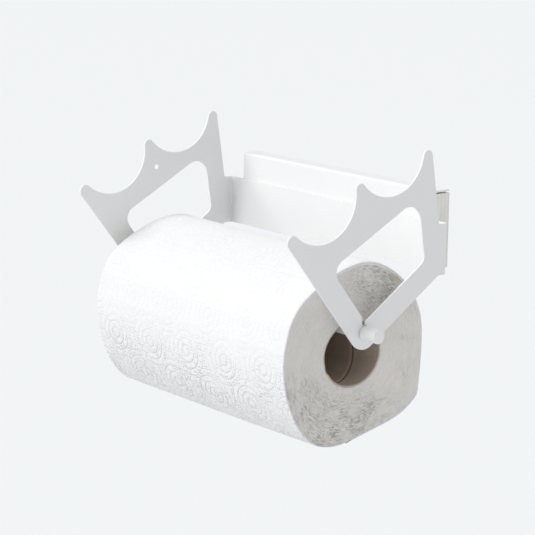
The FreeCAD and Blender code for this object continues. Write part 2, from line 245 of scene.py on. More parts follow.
cover_white = powder_coat("cover white", COAT_WHITE, 0.46)
cover = round_edges(copy_of_node("panel_cover", "cover_shell"), COAT_EDGE_ROUND)
finish_piece(cover, "wall_unit", "cover_coat", "panel_cover", finish=cover_white)


# ==== Wall board ====================================================================================
# A batten of pale plywood, screwed to the wall through two countersunk holes. It carries the pockets for
# the studs and the brass inserts for the grub screws.

BOARD_FACE = (0.89, 0.87, 0.83)
BOARD_GRAIN = (0.82, 0.79, 0.74)
BOARD_PLY = 1.7 * MM
BOARD_FIBRE = 1.6 * MM           # across the grain, which runs along the board
BOARD_FIGURE = 14 * MM
BOARD_EDGE_ROUND = 0.3 * MM


def plywood():
    """Grain along the board, with a broader figure in it, and every second ply a little darker."""
    finish, tree, shader = new_material("pale plywood", BOARD_FACE, 0.65)
    place = place_on_piece(tree)
    fibres = noise(tree, stretched(tree, place, (0.06, 1.0, 1.0)), BOARD_FIBRE, 5.0, 0.65)
    figure = noise(tree, stretched(tree, place, (0.12, 1.0, 1.0)), BOARD_FIGURE, 3.0)
    grain = two_tone(tree, between(tree, fibres, 0.35, 0.75), BOARD_FACE, BOARD_GRAIN)
    streaked = two_tone(tree, between(tree, figure, 0.4, 0.8, 0.0, 0.5), grain, shade(BOARD_GRAIN, 0.9))
    depth = tree.nodes.new("ShaderNodeSeparateXYZ")
    tree.links.new(place, depth.inputs[0])
    plies = calc(tree, "FRACT", calc(tree, "DIVIDE", depth.outputs["Y"], 2 * BOARD_PLY))
    crosswise = calc(tree, "MULTIPLY", calc(tree, "GREATER_THAN", plies, 0.5), 0.35)
    tone = two_tone(tree, crosswise, streaked, shade(BOARD_GRAIN, 0.85))
    tree.links.new(tone, shader.inputs["Base Color"])
    tree.links.new(between(tree, fibres, 0.0, 1.0, 0.55, 0.75), shader.inputs["Roughness"])
    raise_surface(tree, shader, fibres, 0.06 * MM)
    return finish


board = round_edges(copy_of_node("wall_board", "board_batten"), BOARD_EDGE_ROUND)
finish_piece(board, "wall_unit", "board_wood", "wall_board", finish=plywood())


# ==== Hidden fixings ================================================================================
# Four studs welded to the back of the web, two knurled brass inserts in the board's bottom edge, and a
# black grub screw in each insert that grips the stud above it.

STUD_EDGE_ROUND = 0.15 * MM
SMALL_EDGE_ROUND = 0.12 * MM


def bare_metal(name, colour, roughness, grain):
    """Turned or drawn metal: fine marks in tone and relief, and small changes in gloss."""
    finish, tree, shader = new_material(name, colour, roughness)
    shader.inputs["Metallic"].default_value = 1.0
    place = place_on_piece(tree)
    marks = noise(tree, place, grain, 4.0, 0.6)
    gloss = between(tree, marks, 0.0, 1.0, roughness - 0.08, roughness + 0.12)
    tree.links.new(gloss, shader.inputs["Roughness"])
    tone = two_tone(tree, marks, shade(colour, 0.85), colour)
    tree.links.new(tone, shader.inputs["Base Color"])
    raise_surface(tree, shader, marks, 0.01 * MM)
    return finish


zinc = bare_metal("zinc plated steel", (0.62, 0.62, 0.60), 0.35, 1.2 * MM)
black_steel = bare_metal("black oxide steel", (0.06, 0.06, 0.065), 0.45, 0.8 * MM)
brass = bare_metal("brass", (0.78, 0.58, 0.26), 0.32, 0.9 * MM)

studs = round_edges(copy_of_node("weld_studs", "stud_shanks"), STUD_EDGE_ROUND)
finish_piece(studs, "wall_unit", "fixing_steel", "weld_studs", finish=zinc)
inserts = round_edges(copy_of_node("insert_nuts", "insert_bushes"), SMALL_EDGE_ROUND)
finish_piece(inserts, "wall_unit", "insert_brass", "insert_nuts", finish=brass)
grubs = round_edges(copy_of_node("grub_screws", "grub_bodies"), SMALL_EDGE_ROUND)
finish_piece(grubs, "wall_unit", "grub_steel", "grub_screws", finish=black_steel)


# ==== Rod, neck studs and knobs =====================================================================
# A solid 10 mm steel bar, drilled and tapped at both ends, coated white. A threaded stud joins each
# knob to it and leaves a 3 mm neck that drops into the plate's slot.

TURNED_SIDES = 72
ROD_CORNER = 0.5 * MM            # the rolled corner at each end of the bar
KNOB_CORNER = 0.7 * MM
THREAD_PITCH = 0.5 * MM
THREAD_DEPTH = 0.18 * MM
THREAD_SIDES = 32
THREAD_STEPS = 20                # along each turn of the ridge


def turned(name, profile, axis_y, axis_z, sides=TURNED_SIDES):
    """A part turned on a lathe about the rod's line; the profile is (x, radius) from end to end."""
    shape = bmesh.new()
    rings = []
    for x, radius in profile:
        if radius == 0.0:
            rings.append([shape.verts.new((x, axis_y, axis_z))])
            continue
        ring = []
        for i in range(sides):
            a = math.tau * i / sides
            ring.append(shape.verts.new((x, axis_y + radius * math.cos(a), axis_z + radius * math.sin(a))))
        rings.append(ring)
    for first, second in zip(rings, rings[1:]):
        for i in range(sides):
            j = (i + 1) % sides
            around = ((first, i), (first, j), (second, j), (second, i))
            corners = [ring[k % len(ring)] for ring, k in around]
            shape.faces.new(list(dict.fromkeys(corners)))
    bmesh.ops.recalc_face_normals(shape, faces=shape.faces)
    for face in shape.faces:
        face.smooth = True
    mesh = bpy.data.meshes.new(name)
    shape.to_mesh(mesh)
    shape.free()
    return put_in_scene(name, mesh)


def bar_profile(start, end, radius, corner, steps=5):
    """A closed bar with rolled corners, from its middle at one end to its middle at the other."""
    roll_over = []
    for i in range(steps + 1):
        a = math.radians(90.0 * i / steps)
        roll_over.append((corner * (1 - math.sin(a)), radius - corner * (1 - math.cos(a))))
    opening = [(start + depth, r) for depth, r in reversed(roll_over)]
    closing = [(end - depth, r) for depth, r in roll_over]
    return [(start, 0.0)] + opening + closing + [(end, 0.0)]


rod_low, rod_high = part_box("roller_rod")
rod_y = (rod_low.y + rod_high.y) / 2
rod_z = (rod_low.z + rod_high.z) / 2
rod_radius = (rod_high.z - rod_low.z) / 2

rod_white = powder_coat("rod white", shade(COAT_WHITE, 1.01), 0.40)
rod = turned("rod_bar", bar_profile(rod_low.x, rod_high.x, rod_radius, ROD_CORNER), rod_y, rod_z)
finish_piece(rod, "rod", "rod_coat", "roller_rod", finish=rod_white)

knob_white = powder_coat("knob white", shade(COAT_WHITE, 1.02), 0.42)
for side in ("left", "right"):
    low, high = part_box("knob_" + side)
    profile = bar_profile(low.x, high.x, rod_radius, KNOB_CORNER)
    knob = turned("knob_" + side + "_turned", profile, rod_y, rod_z)
    finish_piece(knob, "rod", "knob_coat", "knob_" + side, finish=knob_white)


def thread_tree():
    """Geometry Nodes: a bar with a screw thread wound round it, laid along X at the rod's line."""
    tree = bpy.data.node_groups.new("threaded stud", "GeometryNodeTree")
    for name in ("Length", "Radius", "Pitch", "Depth"):
        tree.interface.new_socket(name, in_out="INPUT", socket_type="NodeSocketFloat")
    tree.interface.new_socket("Middle", in_out="INPUT", socket_type="NodeSocketVector")
    tree.interface.new_socket("Material", in_out="INPUT", socket_type="NodeSocketMaterial")
    tree.interface.new_socket("Geometry", in_out="OUTPUT", socket_type="NodeSocketGeometry")
    given = tree.nodes.new("NodeGroupInput").outputs
    out = tree.nodes.new("NodeGroupOutput")
    root_radius = calc(tree, "SUBTRACT", given["Radius"], given["Depth"])

    core = tree.nodes.new("GeometryNodeMeshCylinder")
    core.inputs["Vertices"].default_value = THREAD_SIDES
    tree.links.new(root_radius, core.inputs["Radius"])
    tree.links.new(given["Length"], core.inputs["Depth"])

    helix = tree.nodes.new("GeometryNodeCurveSpiral")
    helix.inputs["Resolution"].default_value = THREAD_STEPS
    turn_room = calc(tree, "SUBTRACT", given["Length"], given["Pitch"])
    tree.links.new(calc(tree, "DIVIDE", turn_room, given["Pitch"]), helix.inputs["Rotations"])
    tree.links.new(root_radius, helix.inputs["Start Radius"])
    tree.links.new(root_radius, helix.inputs["End Radius"])
    tree.links.new(turn_room, helix.inputs["Height"])
    ridge = tree.nodes.new("GeometryNodeCurvePrimitiveCircle")
    ridge.inputs["Resolution"].default_value = 4
    tree.links.new(given["Depth"], ridge.inputs["Radius"])
    wind = tree.nodes.new("GeometryNodeCurveToMesh")
    wind.inputs["Fill Caps"].default_value = True
    tree.links.new(helix.outputs["Curve"], wind.inputs["Curve"])
    tree.links.new(ridge.outputs["Curve"], wind.inputs["Profile Curve"])
    lower = tree.nodes.new("GeometryNodeTransform")
    tree.links.new(wind.outputs["Mesh"], lower.inputs["Geometry"])
    shift = tree.nodes.new("ShaderNodeCombineXYZ")
    tree.links.new(calc(tree, "MULTIPLY", turn_room, -0.5), shift.inputs["Z"])
    tree.links.new(shift.outputs[0], lower.inputs["Translation"])

    join = tree.nodes.new("GeometryNodeJoinGeometry")
    tree.links.new(core.outputs["Mesh"], join.inputs["Geometry"])
    tree.links.new(lower.outputs["Geometry"], join.inputs["Geometry"])
    lay = tree.nodes.new("GeometryNodeTransform")
    lay.inputs["Rotation"].default_value = (0.0, math.radians(90.0), 0.0)
    tree.links.new(join.outputs["Geometry"], lay.inputs["Geometry"])
    tree.links.new(given["Middle"], lay.inputs["Translation"])
    whole = tree.nodes.new("GeometryNodeRealizeInstances")
    tree.links.new(lay.outputs["Geometry"], whole.inputs["Geometry"])
    painted = tree.nodes.new("GeometryNodeSetMaterial")
    tree.links.new(whole.outputs["Geometry"], painted.inputs["Geometry"])
    tree.links.new(given["Material"], painted.inputs["Material"])
    tree.links.new(painted.outputs["Geometry"], out.inputs["Geometry"])
    return tree


def grow(tree, name, start_mesh=None, **sizes):
    """Runs a Geometry Nodes tree once with these sizes, and keeps the result as a plain mesh."""
    piece = put_in_scene(name, start_mesh or bpy.data.meshes.new(name))
    modifier = piece.modifiers.new("grow", "NODES")
    modifier.node_group = tree
    for socket in tree.interface.items_tree:
        if socket.in_out == "INPUT" and socket.name in sizes:
            modifier[socket.identifier] = sizes[socket.name]
    return settle_modifiers(piece)


thread = thread_tree()
for side in ("left", "right"):
    low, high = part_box("neck_stud_" + side)
    stud = grow(
        thread,
        "neck_" + side + "_threaded",
        Length=high.x - low.x,
        Radius=(high.z - low.z) / 2,
        Pitch=THREAD_PITCH,
        Depth=THREAD_DEPTH,
        Middle=(low + high) / 2,
        Material=zinc,
    )
    finish_piece(stud, "rod", "fixing_steel", "neck_stud_" + side)


# ==== Cardboard core ================================================================================
# A tube of two grey-brown board strips wound in a spiral and glued. Its inner strip's seam runs round the
# inside, and its sawn ends are a little furry.

CORE_COLOUR = (0.52, 0.435, 0.365)
CORE_SIDES = 120
CORE_STEP = 0.8 * MM
SEAM_PITCH = 68.4 * MM
SEAM_START = 83.8 * MM           # where the seam crosses the side that faces the wall
SEAM_WIDTH = 2.0 * MM
SEAM_BROWN = (0.25, 0.136, 0.075)
SEAM_DEPTH = 0.35 * MM
CORE_FUR = 0.4 * MM              # how uneven the sawn ends are
FUR_DETAIL = 9.0
ENDS_APART = 3.0                 # so that the two ends' unevenness differs
CORE_WALL = 1.0 * MM
CORE_FIBRE = 1.1 * MM
CORE_BLOTCH = 16 * MM

core_low, core_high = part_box("cardboard_core")
axis_y = (core_low.y + core_high.y) / 2
axis_z = (core_low.z + core_high.z) / 2
core_half_width = (core_high.y - core_low.y) / 2
core_half_height = (core_high.z - core_low.z) / 2
roll_half = (core_high.x - core_low.x) / 2


def long_side(tree, a, b):
    """The long side of a right-angled triangle, from its two short sides."""
    return calc(tree, "SQRT", calc(tree, "ADD", calc(tree, "MULTIPLY", a, a), calc(tree, "MULTIPLY", b, b)))


def from_roll_axis(tree, place):
    """A point's place along the roll, its distance from the roll's axis, and its angle about it."""
    split = tree.nodes.new("ShaderNodeSeparateXYZ")
    tree.links.new(place, split.inputs[0])
    y = calc(tree, "SUBTRACT", split.outputs["Y"], axis_y)
    z = calc(tree, "SUBTRACT", split.outputs["Z"], axis_z)
    return split.outputs["X"], long_side(tree, y, z), calc(tree, "ARCTAN2", z, y)


def core_board():
    """Furry grey-brown board, with a dark seam between two lighter edges of glue wound round the inside."""
    finish, tree, shader = new_material("core board", CORE_COLOUR, 0.9)
    shader.inputs["Specular IOR Level"].default_value = 0.2
    place = place_on_piece(tree)
    x, _, angle = from_roll_axis(tree, place)
    travelled = calc(tree, "DIVIDE", calc(tree, "SUBTRACT", x, SEAM_START), SEAM_PITCH)
    turns = calc(tree, "ADD", travelled, calc(tree, "DIVIDE", angle, math.tau))
    off_seam = calc(tree, "MULTIPLY", calc(tree, "PINGPONG", turns, 0.5), SEAM_PITCH)
    fibres = noise(tree, place, CORE_FIBRE, 6.0, 0.7)
    blotches = noise(tree, place, CORE_BLOTCH, 3.0)
    tone = two_tone(tree, between(tree, fibres, 0.3, 0.75), shade(CORE_COLOUR, 0.82), CORE_COLOUR)
    tone = two_tone(tree, between(tree, blotches, 0.4, 0.8, 0.0, 0.5), tone, shade(CORE_COLOUR, 1.2))
    glued = between(tree, off_seam, SEAM_WIDTH, 2.2 * SEAM_WIDTH, 0.35, 0.0)
    tone = two_tone(tree, glued, tone, shade(CORE_COLOUR, 1.5))
    seam = between(tree, off_seam, 0.3 * SEAM_WIDTH, 0.6 * SEAM_WIDTH, 0.9, 0.0)
    tone = two_tone(tree, seam, tone, SEAM_BROWN)
    tree.links.new(tone, shader.inputs["Base Color"])
    raise_surface(tree, shader, fibres, 0.12 * MM)
    return finish


def furred(x, angle):
    """A sawn edge's small unevenness at one place round it, from 0 to 1."""
    y = FUR_DETAIL * math.cos(angle)
    z = FUR_DETAIL * math.sin(angle)
    return 0.5 + 0.5 * soft_noise.noise(Vector((y, z, math.copysign(ENDS_APART, x))))


def seam_share(x, angle):
    """1 on the seam's line and 0 away from it."""
    turns = (x - SEAM_START) / SEAM_PITCH + angle / math.tau
    return max(0.0, 1.0 - abs(turns - round(turns)) * SEAM_PITCH / SEAM_WIDTH)


def mesh_from(name, points, faces):
    """A smooth mesh with its faces turned outwards."""
    mesh = bpy.data.meshes.new(name)
    mesh.from_pydata(points, [], faces)
    shape = bmesh.new()
    shape.from_mesh(mesh)
    bmesh.ops.recalc_face_normals(shape, faces=shape.faces)
    shape.to_mesh(mesh)
    shape.free()
    mesh.shade_smooth()
    return mesh


def ring_faces(columns, rows):
    """Faces of a closed loop of columns, each a closed loop of rows."""
    faces = []
    for j in range(columns):
        ahead = (j + 1) % columns
        for k in range(rows):
            above = (k + 1) % rows
            faces.append((j * rows + k, j * rows + above, ahead * rows + above, ahead * rows + k))
    return faces


def core_reach(angle, wall=0.0):
    """How far the squashed tube's outside, or its inside with a wall taken off, is from its axis."""
    wide = core_half_width - wall
    tall = core_half_height - wall
    return wide * tall / math.hypot(tall * math.cos(angle), wide * math.sin(angle))


def build_core():
    """A tube whose section runs along the outside, round the end and back along the inside."""
    steps = int(2 * roll_half / CORE_STEP)
    inside = [roll_half - 2 * roll_half * i / steps for i in range(steps + 1)]
    section = [(x, 0.0) for x in (-roll_half, 0.0, roll_half)]
    section += [(x, 1.0) for x in inside]
    points = []
    for i in range(CORE_SIDES):
        angle = math.tau * i / CORE_SIDES
        for x, within in section:
            r = core_reach(angle, within * CORE_WALL) + within * SEAM_DEPTH * seam_share(x, angle)
            sawn = CORE_FUR * furred(x, angle) if abs(x) == roll_half else 0.0
            place = x - math.copysign(sawn, x)
            points.append((place, axis_y + r * math.cos(angle), axis_z + r * math.sin(angle)))
    mesh = mesh_from("core_tube", points, ring_faces(CORE_SIDES, len(section)))
    mesh.set_sharp_from_angle(angle=math.radians(50.0))
    return put_in_scene("core_tube", mesh)


finish_piece(build_core(), "roll", "core_board", "cardboard_core", finish=core_board())


# ==== Quilted paper =================================================================================
# Two-ply kitchen paper, pressed with staggered rosettes of four rings among fine dots.
# It is wound on the core and has been squashed a little; the last sheet ends under the roll.

ROSETTE_SPACING = 45.5 * MM      # along the roll
ROW_SPACING = 30.5 * MM          # round the roll
QUILT_LEAN = 0.05                # the rows climb a little along the roll
ROSETTE_X = 1.0 * MM             # one rosette's middle, which sets where all of them lie
ROSETTE_ANGLE = math.radians(191.4)
RING_SPACING = 5.2 * MM
FIRST_RING = 4.2 * MM
OUTER_RING = 19.8 * MM
OUTER_SHARE = 0.6                # how deep the outermost ring is, beside the innermost one
RING_DEPTH = 0.27 * MM           # pressed into the mesh
RING_RELIEF = 0.58 * MM          # and the finer relief on top of it
WIDE_GROOVE = 2.5                # a ring's profile: higher is narrower
FINE_GROOVE = 3.0
DOT_PITCH = 2.4 * MM
DOT_DEPTH = 0.55 * MM
DOT_SCATTER = 0.4
DOT_FLOOR = 0.16                 # a dot's flat bottom and its rim, as shares of the pitch
DOT_RIM = 0.38
TOP_SHADE_AND_RELIEF = 0.22              # what is left of the rings' and dots' painted shade and relief on top of the roll: painted light, as the light falls from above there
EVENNESS = 30 * MM               # across the places where it is pressed more or less
PAPER_FIBRE = 0.8 * MM
PAPER_CLOUDS = 22 * MM
PAPER_STEP = 1.25 * MM
PAPER_WHITE = (0.835, 0.83, 0.835)
WOUND_EDGE = (0.785, 0.755, 0.72)
# painted shade: the colour of the gaps between loose windings
GAP_SHADE = (0.40, 0.325, 0.27)
SHEET_SKIN = 0.6 * MM
SLACK_ABOVE = math.radians(58.0)     # where the windings are loose, as angles about the core
SLACK_BELOW = math.radians(-108.0)
CREASE_SOFTNESS = 1.2            # degrees of arc over which the crease is rounded
EDGE_PRESSED = 0.04              # how much of the quilting reaches the rounded ends
OUTLINE_STEPS = 1440


def read_outline():
    """The squashed roll's radius at even angles, read from the outside of its two CAD shapes."""
    shape = bmesh.new()
    for node in ("paper_roll", "loose_sheet"):
        shape.from_mesh(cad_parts[node].data)
    solid = BVHTree.FromBMesh(shape)
    shape.free()
    reach = 2 * roll_half
    radii = []
    for i in range(OUTLINE_STEPS):
        angle = math.tau * i / OUTLINE_STEPS
        outward = Vector((0.0, math.cos(angle), math.sin(angle)))
        hit = solid.ray_cast(Vector((0.0, axis_y, axis_z)) + outward * reach, -outward)[3]
        radii.append(reach - hit)
    return np.array(radii)


def eased(radii, degrees):
    """Rounds the crease and the small flats of the drawing."""
    step = 360.0 / OUTLINE_STEPS
    places = np.arange(-4 * degrees, 4 * degrees + step, step)
    weight = np.exp(-0.5 * (places / degrees) ** 2)
    half = len(weight) // 2
    wrapped = np.concatenate([radii[-half:], radii, radii[:half]])
    return np.convolve(wrapped, weight / weight.sum(), mode="same")[half:-half]


outline = eased(read_outline(), CREASE_SOFTNESS)
outline_angles = np.arange(OUTLINE_STEPS + 1) * math.tau / OUTLINE_STEPS
outline_radii = np.append(outline, outline[0])
outline_y = outline_radii * np.cos(outline_angles)
outline_z = outline_radii * np.sin(outline_angles)
outline_arcs = np.concatenate([[0.0], np.cumsum(np.hypot(np.diff(outline_y), np.diff(outline_z)))])
girth = outline_arcs[-1]


def angle_at(arc):
    """The angle reached after a length of paper round the roll."""
    whole = arc // girth
    return float(np.interp(arc - whole * girth, outline_arcs, outline_angles)) + whole * math.tau


def arc_at(angle):
    whole = angle // math.tau
    return float(np.interp(angle - whole * math.tau, outline_angles, outline_arcs)) + whole * girth


def radius_at(angle):
    return float(np.interp(angle % math.tau, outline_angles, outline_radii))


def sheet_limits():
    """Where the last sheet starts and ends, as angles: it covers the roll from the second to the first."""
    y = np.array([v.co.y - axis_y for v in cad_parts["loose_sheet"].data.vertices])
    z = np.array([v.co.z - axis_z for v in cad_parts["loose_sheet"].data.vertices])
    turned = np.arctan2(z, y)
    return float(turned.max()), float(turned.min())


sheet_start, sheet_end = sheet_limits()


def nearest_rosette(tree, across, along, shift_across, shift_along):
    """The distance from the nearest rosette of one set of rows."""
    beside = calc(tree, "SUBTRACT", across, shift_across)
    beyond = calc(tree, "SUBTRACT", along, shift_along)
    return long_side(
        tree,
        calc(tree, "WRAP", beside, ROSETTE_SPACING / 2, -ROSETTE_SPACING / 2),
        calc(tree, "WRAP", beyond, ROW_SPACING, -ROW_SPACING),
    )


def pressed_rings(tree, quilt_place, sharpness):
    """How deep the rosettes' rings press the paper, from 0 to 1."""
    split = tree.nodes.new("ShaderNodeSeparateXYZ")
    tree.links.new(quilt_place, split.inputs[0])
    across = split.outputs["X"]
    along = calc(tree, "ADD", split.outputs["Y"], calc(tree, "MULTIPLY", across, QUILT_LEAN))
    start_along = arc_at(ROSETTE_ANGLE) + ROSETTE_X * QUILT_LEAN
    next_x = ROSETTE_X + ROSETTE_SPACING / 2
    first = nearest_rosette(tree, across, along, ROSETTE_X, start_along)
    second = nearest_rosette(tree, across, along, next_x, start_along + ROW_SPACING)
    away = calc(tree, "MINIMUM", first, second)
    rings_out = calc(tree, "DIVIDE", calc(tree, "SUBTRACT", away, FIRST_RING), RING_SPACING)
    wave = calc(tree, "COSINE", calc(tree, "MULTIPLY", rings_out, math.tau))
    rings = calc(tree, "POWER", calc(tree, "MAXIMUM", wave, 0.0), sharpness)
    inside = calc(tree, "LESS_THAN", away, OUTER_RING + RING_SPACING / 2)
    fading = between(tree, away, FIRST_RING, OUTER_RING, 1.0, OUTER_SHARE)
    return calc(tree, "MULTIPLY", rings, calc(tree, "MULTIPLY", inside, fading))


def emboss_tree():
    """Geometry Nodes: presses the rosettes into paper that says where it lies on the pattern."""
    tree = bpy.data.node_groups.new("emboss rosettes", "GeometryNodeTree")
    tree.interface.new_socket("Geometry", in_out="INPUT", socket_type="NodeSocketGeometry")
    tree.interface.new_socket("Depth", in_out="INPUT", socket_type="NodeSocketFloat")
    tree.interface.new_socket("Face Material", in_out="INPUT", socket_type="NodeSocketMaterial")
    tree.interface.new_socket("Edge Material", in_out="INPUT", socket_type="NodeSocketMaterial")
    tree.interface.new_socket("Geometry", in_out="OUTPUT", socket_type="NodeSocketGeometry")
    given = tree.nodes.new("NodeGroupInput").outputs
    out = tree.nodes.new("NodeGroupOutput")
    where = tree.nodes.new("GeometryNodeInputNamedAttribute")
    where.data_type = "FLOAT_VECTOR"
    where.inputs["Name"].default_value = "quilt_place"
    share = tree.nodes.new("GeometryNodeInputNamedAttribute")
    share.data_type = "FLOAT"
    share.inputs["Name"].default_value = "quilt_share"
    rings = pressed_rings(tree, where.outputs["Attribute"], WIDE_GROOVE)
    pressed = calc(tree, "MULTIPLY", rings, share.outputs["Attribute"])
    depth = calc(tree, "MULTIPLY", pressed, given["Depth"])
    push = tree.nodes.new("ShaderNodeVectorMath")
    push.operation = "SCALE"
    tree.links.new(tree.nodes.new("GeometryNodeInputNormal").outputs["Normal"], push.inputs[0])
    tree.links.new(calc(tree, "MULTIPLY", depth, -1.0), push.inputs["Scale"])
    press = tree.nodes.new("GeometryNodeSetPosition")
    tree.links.new(given["Geometry"], press.inputs["Geometry"])
    tree.links.new(push.outputs["Vector"], press.inputs["Offset"])
    whole = tree.nodes.new("GeometryNodeRealizeInstances")
    tree.links.new(press.outputs["Geometry"], whole.inputs["Geometry"])
    faced = tree.nodes.new("GeometryNodeSetMaterial")
    tree.links.new(whole.outputs["Geometry"], faced.inputs["Geometry"])
    tree.links.new(given["Face Material"], faced.inputs["Material"])
    edged = tree.nodes.new("GeometryNodeSetMaterial")
    tree.links.new(faced.outputs["Geometry"], edged.inputs["Geometry"])
    unpressed = calc(tree, "LESS_THAN", share.outputs["Attribute"], EDGE_PRESSED / 4)
    tree.links.new(unpressed, edged.inputs["Selection"])
    tree.links.new(given["Edge Material"], edged.inputs["Material"])
    tree.links.new(edged.outputs["Geometry"], out.inputs["Geometry"])
    return tree


def quilted_paper():
    """The face of the paper: fibres, the rosettes' rings and the fine dots between them, with painted shade
    darkening the ring grooves and the dot pits.
    """
    finish, tree, shader = new_material("quilted paper", PAPER_WHITE, 0.95)
    shader.inputs["Specular IOR Level"].default_value = 0.15
    shader.inputs["Sheen Weight"].default_value = 0.1
    place = place_on_piece(tree)
    where = tree.nodes.new("ShaderNodeAttribute")
    where.attribute_name = "quilt_place"
    rings = pressed_rings(tree, where.outputs["Vector"], FINE_GROOVE)
    dots = tree.nodes.new("ShaderNodeTexVoronoi")
    dots.inputs["Scale"].default_value = 1.0 / DOT_PITCH
    dots.inputs["Randomness"].default_value = DOT_SCATTER
    tree.links.new(where.outputs["Vector"], dots.inputs["Vector"])
    dimples = between(tree, dots.outputs["Distance"], DOT_FLOOR, DOT_RIM, 1.0, 0.0)
    dimples = calc(tree, "MULTIPLY", dimples, calc(tree, "SUBTRACT", 1.0, rings))

    # Painted light: the rings' and dots' painted shade, and their relief, fade towards the roll's upper
    # side, where the light falls from above, and stay full on the lower side, where it grazes; the noise
    # makes them uneven.
    _, _, angle = from_roll_axis(tree, place)
    upward = calc(tree, "SINE", angle)
    pressed = between(tree, noise(tree, place, EVENNESS, 3.0), 0.35, 0.65, 0.5, 1.0)
    painted_shade_and_relief = calc(tree, "MULTIPLY", between(tree, upward, -0.45, 0.15, 1.0, TOP_SHADE_AND_RELIEF), pressed)
    rings = calc(tree, "MULTIPLY", rings, painted_shade_and_relief)
    dimples = calc(tree, "MULTIPLY", dimples, painted_shade_and_relief)

    clouds = noise(tree, place, PAPER_CLOUDS, 3.0)
    tone = two_tone(tree, between(tree, clouds, 0.3, 0.7), shade(PAPER_WHITE, 0.985), PAPER_WHITE)
    # painted shade: the rings' grooves are darkened in the colour
    tone = two_tone(tree, calc(tree, "MULTIPLY", rings, 0.65), tone, shade(PAPER_WHITE, 0.80))
    # painted shade: the dots' pits are darkened in the colour
    tone = two_tone(tree, calc(tree, "MULTIPLY", dimples, 0.9), tone, shade(PAPER_WHITE, 0.66))
    tree.links.new(tone, shader.inputs["Base Color"])
    under = raise_surface(tree, shader, calc(tree, "MULTIPLY", dimples, -1.0), DOT_DEPTH)
    under = raise_surface(tree, shader, calc(tree, "MULTIPLY", rings, -1.0), RING_RELIEF, under)
    raise_surface(tree, shader, noise(tree, place, PAPER_FIBRE, 5.0, 0.7), 0.04 * MM, under)
    return finish


WOUND_SCALE = 38 * MM            # the end's pattern: how far it runs from the core to the outside,
WOUND_TURN = 9 * MM              # and how far round, which draws it out along the windings
WOUND_LAYER = 1.0 * MM
WOUND_BAND = 5.0 * MM
WOUND_GAP = 0.5 * MM
WOUND_FLUFF = 1.3 * MM
WOUND_PATCH = 11 * MM
PAINTED_LIGHT_RIM = (36.8 * MM, 37.8 * MM)    # painted light: the outermost windings are painted paler, towards the paper's white, and more of them above than below, as the rounded rim catches the light from above
PAINTED_LIGHT_LEAN = 0.7 * MM
PAINTED_LIGHT_SHARE = 0.4


def wound_edges():
    """The roll's end: hundreds of paper edges, some proud and some sunk, in broken rings, with painted shade
    in the gaps between loose windings and painted light on the outermost windings.
    """
    finish, tree, shader = new_material("wound paper edges", WOUND_EDGE, 0.95)
    shader.inputs["Specular IOR Level"].default_value = 0.1
    place = place_on_piece(tree)
    where = tree.nodes.new("ShaderNodeAttribute")
    where.attribute_name = "wound_place"
    wound = where.outputs["Vector"]
    layers = noise(tree, wound, WOUND_LAYER, 4.0, 0.75)
    bands = noise(tree, wound, WOUND_BAND, 2.0)
    gaps = noise(tree, stretched(tree, wound, (1.0, 0.8, 0.8)), WOUND_GAP, 2.0, 0.6)
    fluff = noise(tree, place, WOUND_FLUFF, 5.0, 0.7)
    patches = noise(tree, place, WOUND_PATCH, 3.0)

    _, radius, angle = from_roll_axis(tree, place)
    above = calc(tree, "COSINE", calc(tree, "SUBTRACT", angle, SLACK_ABOVE))
    below = calc(tree, "COSINE", calc(tree, "SUBTRACT", angle, SLACK_BELOW))
    loose = calc(tree, "MAXIMUM", between(tree, above, 0.70, 0.98), between(tree, below, 0.25, 0.85))
    loose = calc(tree, "MULTIPLY", loose, between(tree, radius, 30 * MM, 44 * MM, 0.35, 1.0))
    loose = calc(tree, "MULTIPLY", loose, between(tree, patches, 0.35, 0.6, 0.25, 1.0))
    loose = calc(tree, "MAXIMUM", loose, between(tree, patches, 0.55, 0.75, 0.0, 0.5))
    # Painted shade: where the windings are loose, the gaps between them are painted dark; the bump below
    # also sinks them.
    dark = calc(tree, "MULTIPLY", between(tree, gaps, 0.50, 0.68, 0.0, 0.65), loose)

    tone = two_tone(tree, between(tree, layers, 0.3, 0.7), shade(WOUND_EDGE, 0.92), shade(WOUND_EDGE, 1.06))
    tone = two_tone(tree, between(tree, bands, 0.45, 0.75, 0.0, 0.22), tone, shade(WOUND_EDGE, 0.84))
    tone = two_tone(tree, between(tree, fluff, 0.5, 0.8, 0.0, 0.40), tone, shade(WOUND_EDGE, 1.14))
    tone = two_tone(tree, dark, tone, GAP_SHADE)
    # painted light: the outermost windings, reaching further in on the upper side, are painted paler
    split = tree.nodes.new("ShaderNodeSeparateXYZ")
    tree.links.new(wound, split.inputs[0])
    lean = calc(tree, "MULTIPLY", calc(tree, "SINE", angle), PAINTED_LIGHT_LEAN)
    outward = calc(tree, "ADD", split.outputs["X"], lean)
    tone = two_tone(tree, between(tree, outward, *PAINTED_LIGHT_RIM, 0.0, PAINTED_LIGHT_SHARE), tone, PAPER_WHITE)
    tree.links.new(tone, shader.inputs["Base Color"])
    under = raise_surface(tree, shader, layers, 0.45 * MM)
    under = raise_surface(tree, shader, calc(tree, "MULTIPLY", dark, -1.0), 0.7 * MM, under)
    raise_surface(tree, shader, fluff, 0.25 * MM, under)
    return finish


SWAY = 0.45 * MM                 # the slight unevenness of a roll that has been carried about
SWAY_LENGTH = 70 * MM
SWAY_DETAIL = 1.6


def sway(x, angle):
    """How far one place on the roll's outside stands out."""
    place = Vector((x / SWAY_LENGTH, SWAY_DETAIL * math.cos(angle), SWAY_DETAIL * math.sin(angle)))
    return SWAY * soft_noise.noise(place)


